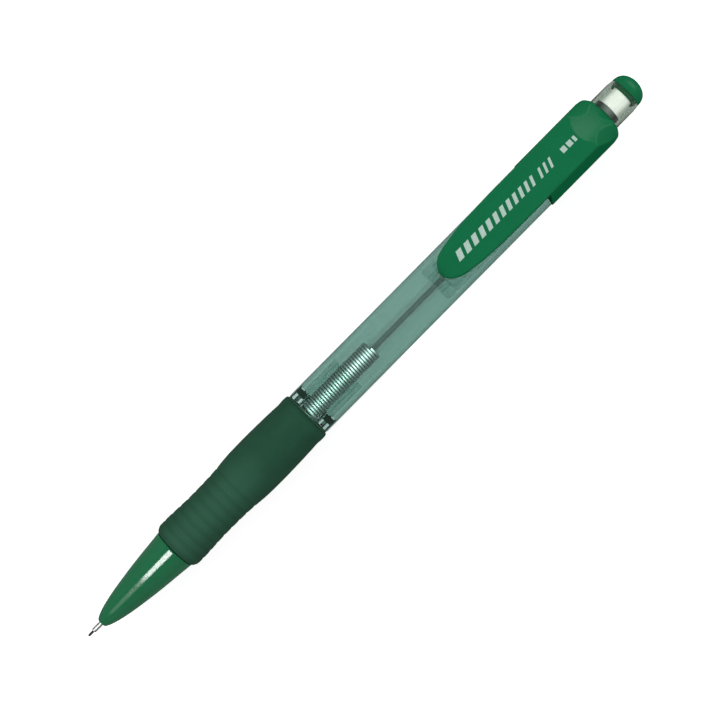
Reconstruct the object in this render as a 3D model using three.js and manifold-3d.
// Mechanical lead holder with a sliding weight, for 0.5 mm leads: clear barrel, rubber grip,
// screw-on nose cone with a sliding lead sleeve, sprung collet chuck, close-wound
// coil weight that slides on the lead tube, push button with an eraser, pocket clip.
//
// Millimetres, +Z up. The holder lies on its back along X with the clip on top.
// Every piece is drawn in the holder's own frame (x = distance behind the writing
// point, axis on y = z = 0) and the root group then moves the axis up so that the
// grip rests on z = 0, with the origin under the middle of the length.
// "Front" is towards the writing point, "rear" towards the cap.
import * as THREE from 'three';
import { mergeVertices } from 'three/addons/utils/BufferGeometryUtils.js';
import Module from 'manifold-3d';

// ---------------------------------------------------------------- shared sizes
const LENGTH = 144.5;          // writing point to the top of the cap
const GRIP_MAX_R = 5.34;
const BARREL_FRONT = 58.0;
const BARREL_BORE = 3.65;      // all bores are radii
const BARREL_NECK_R = 4.3;     // the barrel's rear end, inside the collar
const BARREL_REAR = 131.0;
const GUIDE_R = BARREL_BORE - 0.05; // clear guide sleeves inside the barrel
const TUBE_R = 1.35;           // lead tube, outside
const TUBE_SOCKET_R = TUBE_R + 0.06; // sockets that hold its ends

// Facets round a turned piece
const SEG = 24;                // large
const SEG_M = 16;              // medium
const SEG_S = 12;              // small

// ---------------------------------------------------------------- materials
const GREEN = { color: 0x1f7049, roughness: 0.28, metalness: 0 };
const DARK_GREEN = { color: 0x21382e, roughness: 0.45, metalness: 0 };
const RUBBER = { color: 0x2b503e, roughness: 0.85, metalness: 0 };
const CLEAR = {
  color: 0x78a093, roughness: 0.08, metalness: 0, transparent: true, opacity: 0.35 };
const CLEAR_CAP = {
  color: 0xb9c6bf, roughness: 0.1, metalness: 0, transparent: true, opacity: 0.35 };
const STEEL = { color: 0xc9cfcc, roughness: 0.25, metalness: 1 };
const BRASS = { color: 0xb9985a, roughness: 0.3, metalness: 1 };
const GRAPHITE = { color: 0x3c3f40, roughness: 0.5, metalness: 0.2 };
const WHITE_PLASTIC = { color: 0xd9dcd6, roughness: 0.5, metalness: 0 };
const BLACK_PLASTIC = { color: 0x1c2b25, roughness: 0.4, metalness: 0 };
const BLACK_RUBBER = { color: 0x1a1b1b, roughness: 0.9, metalness: 0 };
const ERASER = { color: 0xe9ece6, roughness: 0.8, metalness: 0 };

// ---------------------------------------------------------------- solids and meshes
const wasm = await Module();
wasm.setup();

// Closed three.js geometry to a manifold solid, turned right side out if need be.
function toSolid(geometry) {
  const bare = geometry.index ? geometry.toNonIndexed() : geometry.clone();
  for (const name of Object.keys(bare.attributes)) {
    if (name !== 'position') bare.deleteAttribute(name);
  }
  const merged = mergeVertices(bare, 1e-5);
  const triVerts = new Uint32Array(merged.index.array);
  const vertProperties = new Float32Array(merged.attributes.position.array);
  const build = () => new wasm.Manifold(new wasm.Mesh({ numProp: 3, vertProperties, triVerts }));
  const solid = build();
  if (solid.volume() >= 0) return solid;
  for (let i = 0; i < triVerts.length; i += 3) {
    [triVerts[i + 1], triVerts[i + 2]] = [triVerts[i + 2], triVerts[i + 1]];
  }
  return build();
}

function piece(name, solid, look) {
  const { vertProperties, triVerts } = solid.getMesh();
  const geometry = new THREE.BufferGeometry();
  geometry.setAttribute('position',
    new THREE.BufferAttribute(new Float32Array(vertProperties), 3));
  geometry.setIndex(new THREE.BufferAttribute(new Uint32Array(triVerts), 1));
  geometry.computeVertexNormals();
  const mesh = new THREE.Mesh(geometry, new THREE.MeshStandardMaterial(look));
  mesh.name = name;
  return mesh;
}

function group(...children) {
  return new THREE.Group().add(...children);
}

// Turned solid about X from [x, radius] points; the profile starts and ends on the axis.
// The half-facet start puts a flat, not a corner, at the bottom.
function turned(profile, seg = SEG) {
  const points = profile.map(([x, r]) => new THREE.Vector2(r, x));
  const geometry = new THREE.LatheGeometry(points, seg, Math.PI / seg);
  geometry.rotateZ(-Math.PI / 2);
  return toSolid(geometry);
}

// Turned ring or tube from two [x, radius] profiles, each front to rear.
function tube(outer, inner, seg = SEG) {
  return turned([...outer, ...[...inner].reverse(), outer[0]], seg);
}

function rod(xFront, xRear, r, seg = SEG) {
  return turned([[xFront, 0], [xFront, r], [xRear, r], [xRear, 0]], seg);
}

const shapeOf = (outline) => new THREE.Shape(outline.map(([a, b]) => new THREE.Vector2(a, b)));

// Prism whose outline's two coordinates and depth run along the three given axes.
function prism(outline, depth, ...axes) {
  const geometry = new THREE.ExtrudeGeometry(
    shapeOf(outline), { depth, bevelEnabled: false, steps: 1 });
  const [first, second, third] = axes.map((axis) => new THREE.Vector3(...axis));
  return geometry.applyMatrix4(new THREE.Matrix4().makeBasis(first, second, third));
}

// Prism along X from [y, z] points.
function alongX(outline, xFront, xRear) {
  return toSolid(prism(outline, xRear - xFront, [0, 1, 0], [0, 0, 1], [1, 0, 0])
    .translate(xFront, 0, 0));
}

// Prism along Y from [x, z] points, centred on y = 0.
function alongY(outline, width) {
  return toSolid(prism(outline, width, [1, 0, 0], [0, 0, 1], [0, -1, 0])
    .translate(0, width / 2, 0));
}

// Prism along Z from [x, y] points.
function alongZ(outline, zLow, zHigh) {
  return toSolid(prism(outline, zHigh - zLow, [1, 0, 0], [0, 1, 0], [0, 0, 1])
    .translate(0, 0, zLow));
}

// Sector of a ring round X, `half` degrees either side of `middle`.
// Angles run from +Z towards -Y.
function sector({ x: [xFront, xRear], r: [rInner, rOuter], middle, half, steps = 5 }) {
  const arc = (r) => Array.from({ length: steps + 1 }, (_, i) => {
    const angle = THREE.MathUtils.degToRad(middle - half + 2 * half * i / steps);
    return [-r * Math.sin(angle), r * Math.cos(angle)];
  });
  return alongX([...arc(rOuter), ...arc(rInner).reverse()], xFront, xRear);
}

// Centre line of a wire wound round X.
class Helix extends THREE.Curve {
  constructor(size) {
    super();
    Object.assign(this, size);
  }
  getPoint(t, target = new THREE.Vector3()) {
    const turn = t * this.turns;
    const angle = turn * 2 * Math.PI;
    return target.set(
      this.start + turn * this.pitch, this.radius * Math.cos(angle), this.radius * Math.sin(angle));
  }
}

const COIL_STEPS = 10;         // per turn
const WIRE_SIDES = 4;

function coil({ start, pitch, radius, turns, wireR }) {
  const wire = Array.from({ length: WIRE_SIDES }, (_, i) => {
    const angle = 2 * Math.PI * i / WIRE_SIDES;
    return [wireR * Math.cos(angle), wireR * Math.sin(angle)];
  });
  const steps = Math.round(turns * COIL_STEPS);
  const extrudePath = new Helix({ start, pitch, radius, turns });
  extrudePath.arcLengthDivisions = steps * 2;
  return toSolid(new THREE.ExtrudeGeometry(
    shapeOf(wire), { steps, extrudePath, bevelEnabled: false, curveSegments: 1 }));
}

// ---------------------------------------------------------------- nose unit
// Profiles from here on are [x, radius] tables, outside first, then the bore.
const NOSE_FRONT = 3.43;
const SLEEVE_FRONT = 1.34;     // lead stands this far out of the sleeve
const SLEEVE_REAR = 7.5;
const SLEEVE_R = 0.475;
const SLEEVE_BORE = 0.31;

function noseCone() {
  return piece('nose_cone', tube([
    [NOSE_FRONT, 0.78], [3.55, 0.99], [3.9, 1.2], [4.64, 1.54], [6.12, 2.0], [7.61, 2.34],
    [9.6, 2.72], [12.06, 3.09], [15.03, 3.49], [18.0, 3.81], [20.9, 4.09], [22.75, 4.3],
    [22.75, 3.2], [28.0, 3.2], [28.3, 2.95],
  ], [
    [NOSE_FRONT, 0.53], [4.7, 0.53], [4.7, 0.95], [6.2, 0.95], [6.2, 1.3], [11.2, 1.3],
    [11.2, 1.56], [15.1, 1.56], [15.1, 2.05], [18.95, 2.05], [18.95, 2.55], [28.3, 2.55],
  ]), GREEN);
}

function leadSleeve() {
  return piece('lead_sleeve', tube(
    [[SLEEVE_FRONT, 0.4], [SLEEVE_FRONT + 0.12, SLEEVE_R], [SLEEVE_REAR, SLEEVE_R]],
    [[SLEEVE_FRONT, SLEEVE_BORE], [SLEEVE_REAR, SLEEVE_BORE]], SEG_S), STEEL);
}

// Slides in the nose cone with the sleeve in its front and the retainer in its rear.
function sleeveCarrier() {
  return piece('sleeve_carrier', tube(
    [[4.8, 0.9], [6.28, 0.9], [6.3, 1.25], [9.2, 1.25]],
    [[4.8, 0.505], [7.52, 0.505], [7.56, 0.9], [9.2, 0.9]], SEG_S), WHITE_PLASTIC);
}

// Rubber that drags on the lead.
function leadRetainer() {
  return piece('lead_retainer', tube(
    [[7.62, 0.84], [9.05, 0.84]],
    [[7.62, 0.3], [8.1, 0.28], [8.6, 0.28], [9.05, 0.42]], SEG_S), BLACK_RUBBER);
}

// ---------------------------------------------------------------- leads
const LEAD_R = 0.25;           // 0.5 mm lead
const LEAD_L = 60.0;           // standard lead length
const LEAD_SEG = 12;
const SPARES = { x: 63.0, y: 0.27, z: -0.62, stagger: 0.81 }; // front ends, in the lead tube

// The working lead has a worn, tapered point.
function workingLead() {
  return piece('lead', turned(
    [[0, 0], [0, 0.14], [0.16, LEAD_R], [LEAD_L, LEAD_R], [LEAD_L, 0]], LEAD_SEG), GRAPHITE);
}

// `side` is +1 towards +Y, -1 towards -Y.
function spareLead(name, side) {
  const mesh = piece(name, rod(0, LEAD_L, LEAD_R, LEAD_SEG), GRAPHITE);
  mesh.position.set(SPARES.x + side * SPARES.stagger, side * SPARES.y, SPARES.z);
  return mesh;
}

// ---------------------------------------------------------------- chuck unit
const SLIT = { count: 3, front: 15.1, length: 12.5, width: 0.24, depth: 1.8, phase: 0.2 };
const TUBE_FRONT = 49.6;
const TUBE_REAR = 132.9;
const TUBE_BORE = 0.975;

// Collet split into three jaws by slits from the axis outwards.
function chuck() {
  let solid = tube(
    [[15.4, 1.3], [15.6, 1.44], [18.6, 1.14], [18.6, 0.95], [43.6, 0.95], [44.0, 0.85]],
    [[15.4, 0.42], [15.55, 0.29], [19.2, 0.29], [19.6, 0.5], [44.0, 0.5]], SEG_M);
  for (let i = 0; i < SLIT.count; i++) {
    const slit = new THREE.BoxGeometry(SLIT.length, SLIT.width, SLIT.depth);
    slit.translate(SLIT.front + SLIT.length / 2, 0, SLIT.depth / 2);
    slit.rotateX(i * 2 * Math.PI / SLIT.count + SLIT.phase);
    solid = solid.subtract(toSolid(slit));
  }
  return piece('chuck', solid, BRASS);
}

function clutchRing() {
  return piece('clutch_ring', tube(
    [[16.4, 1.85], [16.5, 1.95], [18.9, 1.95], [19.0, 1.85]],
    [[16.4, 1.43], [18.6, 1.26], [19.0, 1.26]], SEG_M), BRASS);
}

// Flanged cup round the return spring.
function springHousing() {
  return piece('spring_housing', tube([
    [19.1, 2.4], [19.2, 2.5], [28.42, 2.5], [28.42, 3.15], [29.35, 3.15], [29.35, 2.5],
    [40.0, 2.5],
  ], [
    [19.1, 1.06], [24.0, 1.06], [24.0, 1.97], [40.0, 1.97],
  ]), WHITE_PLASTIC);
}

function returnSpring() {
  return piece('return_spring', coil(
    { start: 24.42, pitch: 1.31, radius: 1.6, turns: 10.2, wireR: 0.17 }), STEEL);
}

// Joins the chuck to the lead tube.
function chuckConnector() {
  return piece('chuck_connector', tube([
    [38.2, 1.8], [38.3, 1.87], [52.8, 1.87], [53.0, 2.25], [55.2, 2.25], [55.3, 2.15],
  ], [
    [38.2, 1.0], [44.3, 1.0], [44.3, 0.45], [45.6, 0.45], [49.4, 0.95],
    [49.5, TUBE_SOCKET_R], [55.3, TUBE_SOCKET_R],
  ], SEG_M), BLACK_PLASTIC);
}

function leadTube() {
  return piece('lead_tube', tube(
    [[TUBE_FRONT, TUBE_R], [TUBE_REAR, TUBE_R]],
    [[TUBE_FRONT, TUBE_BORE], [TUBE_REAR, TUBE_BORE]], SEG_M), CLEAR);
}

// ---------------------------------------------------------------- coil weight
const WEIGHT = { front: 55.5, rear: 75.1, r: 2.06, wireR: 0.268, pitch: 0.575 };

function coilWeight() {
  const { front, rear, r, wireR, pitch } = WEIGHT;
  const turns = Math.round((rear - front - 2 * wireR) / pitch);
  return piece('coil_weight', coil(
    { start: front + wireR, pitch, radius: r - wireR, turns, wireR }), STEEL);
}

// ---------------------------------------------------------------- grip
const GRIP_FRONT = 22.95;
const GRIP_REAR = 57.65;
const GRIP_BORE = 4.12;
// Middles of the ring grooves, x
const GROOVES = [25.26, 27.19, 29.12, 31.06, 32.99, 34.92, 36.86, 38.79];
const GROOVE_HALF_W = 0.42;
const GROOVE_DEPTH = 0.1;
// Outline without the grooves: [x, radius]
const GRIP_LINE = [
  [23.93, 5.0], [25.4, 5.02], [26.9, 4.98], [28.4, 4.9], [29.9, 4.84], [31.3, 4.79],
  [32.8, 4.79], [34.3, 4.81], [35.8, 4.84], [37.3, 4.89], [38.8, 4.99], [40.25, 5.13],
  [41.7, 5.25], [43.2, 5.31], [46.0, GRIP_MAX_R], [49.2, 5.3], [52.1, 5.22], [54.0, 5.15],
  [55.2, 5.08], [56.3, 5.17], [57.0, 5.15], [57.4, 5.07],
];
// Stations behind the grooves, x
const SMOOTH_STATIONS = [39.6, 41.7, 43.2, 46.0, 49.2, 52.1, 54.0, 55.2, 56.3, 57.0, 57.4];

// Point on the outline at x, sunk by `dip`.
function gripPoint(x, dip = 0) {
  const next = GRIP_LINE.findIndex(([stationX]) => x <= stationX);
  const [xFront, rFront] = GRIP_LINE[next - 1];
  const [xRear, rRear] = GRIP_LINE[next];
  return [x, rFront + (rRear - rFront) * (x - xFront) / (xRear - xFront) - dip];
}

function grip() {
  const outer = [
    [GRIP_FRONT, 4.45], [23.3, 4.72], [23.75, 4.94],
    gripPoint(24.2),
    ...GROOVES.flatMap((x) => [
      gripPoint(x - GROOVE_HALF_W), gripPoint(x, GROOVE_DEPTH), gripPoint(x + GROOVE_HALF_W)]),
    ...SMOOTH_STATIONS.map((x) => gripPoint(x)),
    [GRIP_REAR, 4.92],
  ];
  return piece('grip', tube(outer, [[GRIP_FRONT, GRIP_BORE], [GRIP_REAR, GRIP_BORE]]), RUBBER);
}

// ---------------------------------------------------------------- snap joint, core to barrel
const LUG_PHASE = 6.0;         // degrees the joint sits round from the clip
const LUG_AT = 50.4;           // degrees from the joint's middle to a lug's middle
const LUG_HALF = 18.0;         // half the lug's width, degrees
const LUG_NECK_HALF = 2.0;     // half its neck's width, at one end of the lug
const LUG_INNER_R = 3.75;
const NOTCH_GAP = 2.0;         // degrees free at each end of a lug

// Two pairs of lugs: `middle` in degrees, `neckSide` the end of the lug the neck is on.
const LUGS = [1, -1].flatMap((side) => [
  { middle: side * LUG_AT + LUG_PHASE, neckSide: side },
  { middle: 180 + side * LUG_AT + LUG_PHASE, neckSide: -side },
]);

// Core inside the grip, with the lugs on necks at its rear.
function gripCore() {
  let solid = tube([
    [23.0, 4.05], [57.67, 4.05], [57.67, 4.72], [57.93, 4.72],
  ], [
    [23.0, 3.26], [29.42, 3.26], [29.42, 2.55], [52.0, 2.55], [52.0, BARREL_BORE],
    [57.93, BARREL_BORE],
  ]);
  for (const { middle, neckSide } of LUGS) {
    const lug = sector({ x: [59.3, 60.5], r: [LUG_INNER_R, 4.72], middle, half: LUG_HALF });
    const neck = sector({
      x: [57.75, 59.4], r: [LUG_INNER_R, 4.3],
      middle: middle + neckSide * (LUG_HALF - LUG_NECK_HALF), half: LUG_NECK_HALF, steps: 2 });
    solid = solid.add(lug).add(neck);
  }
  return piece('grip_core', solid, DARK_GREEN);
}

// ---------------------------------------------------------------- barrel and its guides
const BARREL_R = 4.8;
const BARREL_STEP = 117.33;    // the barrel necks down here
const FRONT_GUIDE = { front: 52.1, rear: 68.6 };
const REAR_GUIDE = { front: 91.3, rear: 116.0 }; // its front is the weight's rear stop

function barrel() {
  const notches = LUGS.map(({ middle }) => sector({
    x: [BARREL_FRONT - 1, 60.75], r: [BARREL_BORE - 0.3, BARREL_R + 0.4],
    middle, half: LUG_HALF + NOTCH_GAP }));
  const wall = tube([
    [BARREL_FRONT, BARREL_R], [BARREL_STEP, BARREL_R],
    [BARREL_STEP, BARREL_NECK_R], [BARREL_REAR, BARREL_NECK_R],
  ], [
    [BARREL_FRONT, BARREL_BORE], [BARREL_REAR, BARREL_BORE],
  ]);
  return piece('barrel', wall.subtract(notches.reduce((all, notch) => all.add(notch))), CLEAR);
}

function guide(name, { front, rear }, bore) {
  return piece(name, tube([[front, GUIDE_R], [rear, GUIDE_R]], bore), CLEAR);
}

function frontGuide() {
  return guide('front_guide', FRONT_GUIDE,
    [[FRONT_GUIDE.front, 2.35], [68.0, 2.35], [FRONT_GUIDE.rear, 2.7]]);
}

function rearGuide() {
  return guide('rear_guide', REAR_GUIDE,
    [[REAR_GUIDE.front, 1.7], [93.3, 1.7], [93.6, 2.5], [REAR_GUIDE.rear, 2.5]]);
}

// ---------------------------------------------------------------- head with its clip
const COLLAR_R = 5.05;
const COLLAR_FRONT = 117.4;
const COLLAR_STEPS = 19;       // round the collar's arc
const HEAD_REAR = 135.7;
const HEAD_TOP = 7.4;          // top of the clip above the axis
const CLIP_TIP = 93.15;
const CLIP_ROOT = COLLAR_FRONT - 0.3; // rear end of the clip piece, just ahead of the head
const CLIP_HALF_W = 4.1;
const PLAN_STEP = COLLAR_FRONT - 0.01; // the plan widens here, just ahead of the collar
const BUMP = { x: 97.6, z: 5.82, r: 0.9, width: 3.4, seg: 12 };

// Side view of the arm, then the head: [x, z]
const SIDE = [
  [CLIP_TIP, 5.55], [93.6, 5.35], [COLLAR_FRONT, 5.95], [COLLAR_FRONT, -6.5],
  [HEAD_REAR, -6.5], [HEAD_REAR, 3.85], [133.4, 5.05], [132.4, 5.55], [131.2, 6.15],
  [129.8, 6.8], [128.4, HEAD_TOP], [110.0, HEAD_TOP], [104.0, 7.26], [98.5, 6.98],
  [95.0, 6.72], [93.6, 6.45], [CLIP_TIP, 6.0],
];
// The +Y edge of the clip from above: [x, y]
const CLIP_EDGE = [
  [CLIP_TIP, 0.0], [93.3, 0.75], [93.55, 1.25], [94.0, 1.83], [95.1, 2.6], [96.65, 3.12],
  [98.5, 3.42], [100.4, 3.67], [102.2, 3.84], [106.8, 4.03], [111.5, CLIP_HALF_W],
  [PLAN_STEP, CLIP_HALF_W],
];
// Turned envelope that rounds off the head's rear: [x, radius]
const HEAD_ENVELOPE = [
  [90, 0], [90, 12], [126.0, 12], [129.4, 8.6], [133.2, 5.3], [134.1, 4.97], [134.5, 4.9],
  [134.75, 4.82], [135.05, 4.64], [135.3, 4.38], [135.5, 4.12], [HEAD_REAR, 3.85],
  [HEAD_REAR, 0],
];

// [y, z] circle of the collar with straight tangent sides up to the clip.
function headSection() {
  const reach = Math.hypot(CLIP_HALF_W, HEAD_TOP);
  const tangent = Math.atan2(CLIP_HALF_W, HEAD_TOP) + Math.acos(COLLAR_R / reach);
  const section = [];
  for (let i = 0; i <= COLLAR_STEPS; i++) {
    const angle = tangent + (2 * Math.PI - 2 * tangent) * i / COLLAR_STEPS;
    section.push([COLLAR_R * Math.sin(angle), COLLAR_R * Math.cos(angle)]);
  }
  return [...section, [-CLIP_HALF_W, HEAD_TOP], [CLIP_HALF_W, HEAD_TOP]];
}

// Bump under the clip near its tip.
function clipBump() {
  const round = new THREE.CylinderGeometry(BUMP.r, BUMP.r, BUMP.width, BUMP.seg);
  round.translate(BUMP.x, 0, BUMP.z);
  return toSolid(round).intersect(alongY([[90, 4.7], [105, 4.7], [105, 6.2], [90, 6.2]], 14));
}

// Head and clip as one solid, bored for the barrel's neck and for the cap.
function moulding() {
  const plan = [
    ...CLIP_EDGE,
    [PLAN_STEP, 6.5], [HEAD_REAR, 6.5], [HEAD_REAR, -6.5], [PLAN_STEP, -6.5],
    ...CLIP_EDGE.slice(1).reverse().map(([x, y]) => [x, -y]),
  ];
  return alongY(SIDE, 14)
    .intersect(alongZ(plan, -7, 9))
    .intersect(alongX(headSection(), 90, HEAD_REAR))
    .intersect(turned(HEAD_ENVELOPE, 32))
    .add(clipBump())
    .subtract(rod(116, BARREL_REAR + 0.2, BARREL_NECK_R + 0.05))
    .subtract(rod(BARREL_REAR + 0.1, 137, 3.6));
}

// The moulding between two places along X.
function mouldingPiece(name, xFront, xRear) {
  const slab = alongX([[-9, -9], [9, -9], [9, 9], [-9, 9]], xFront, xRear);
  return piece(name, moulding().intersect(slab), GREEN);
}

// ---------------------------------------------------------------- push button
const CAP_R = 3.48;
const CAP_BORE = 2.86;

function eraserSocket() {
  return piece('eraser_socket', tube([
    [127.6, 1.8], [127.8, 1.95], [133.4, 1.95], [133.6, 2.73], [137.0, 2.73], [137.1, 2.63],
  ], [
    [127.6, TUBE_SOCKET_R], [133.0, TUBE_SOCKET_R], [133.0, 1.05], [133.9, 1.05],
    [133.9, 2.21], [137.1, 2.21],
  ], SEG_M), BLACK_PLASTIC);
}

function eraser() {
  return piece('eraser', turned([
    [134.0, 0], [134.0, 2.05], [134.1, 2.15], [141.15, 2.15], [141.3, 2.02], [141.3, 0],
  ], SEG_M), ERASER);
}

function capSleeve() {
  return piece('cap_sleeve', tube(
    [[130.0, 3.38], [130.1, CAP_R], [140.2, CAP_R], [140.8, 3.4], [141.45, 3.32]],
    [[130.0, CAP_BORE], [141.45, CAP_BORE]]), CLEAR_CAP);
}

// Domed end with a skirt that plugs into the cap sleeve.
function capDome() {
  return piece('cap_dome', turned([
    [141.65, 0], [141.65, 2.32], [140.6, 2.32], [140.6, 2.7], [140.7, 2.8], [141.5, 2.8],
    [141.5, 3.3], [142.3, 3.22], [142.8, 3.06], [143.25, 2.8], [143.7, 2.38], [144.0, 1.98],
    [144.3, 1.4], [144.43, 0.8], [LENGTH, 0],
  ]), GREEN);
}

// ---------------------------------------------------------------- assembly
const tip = group(leadSleeve(), sleeveCarrier(), leadRetainer());
const nose = group(noseCone(), tip);
const cap = group(capSleeve(), capDome());
const pushUnit = group(
  chuck(), chuckConnector(), leadTube(), eraserSocket(),
  spareLead('spare_lead_left', 1), spareLead('spare_lead_right', -1), eraser(), cap);
const body = group(
  barrel(), gripCore(), grip(), frontGuide(), rearGuide(), springHousing(),
  mouldingPiece('head', COLLAR_FRONT, 140), mouldingPiece('clip', 80, CLIP_ROOT));
const holder = group(
  body, nose, pushUnit, clutchRing(), returnSpring(), coilWeight(), workingLead());
// The grip rests on the flat of its lowest facet.
holder.position.set(-LENGTH / 2, 0, GRIP_MAX_R * Math.cos(Math.PI / SEG));
export default group(holder);
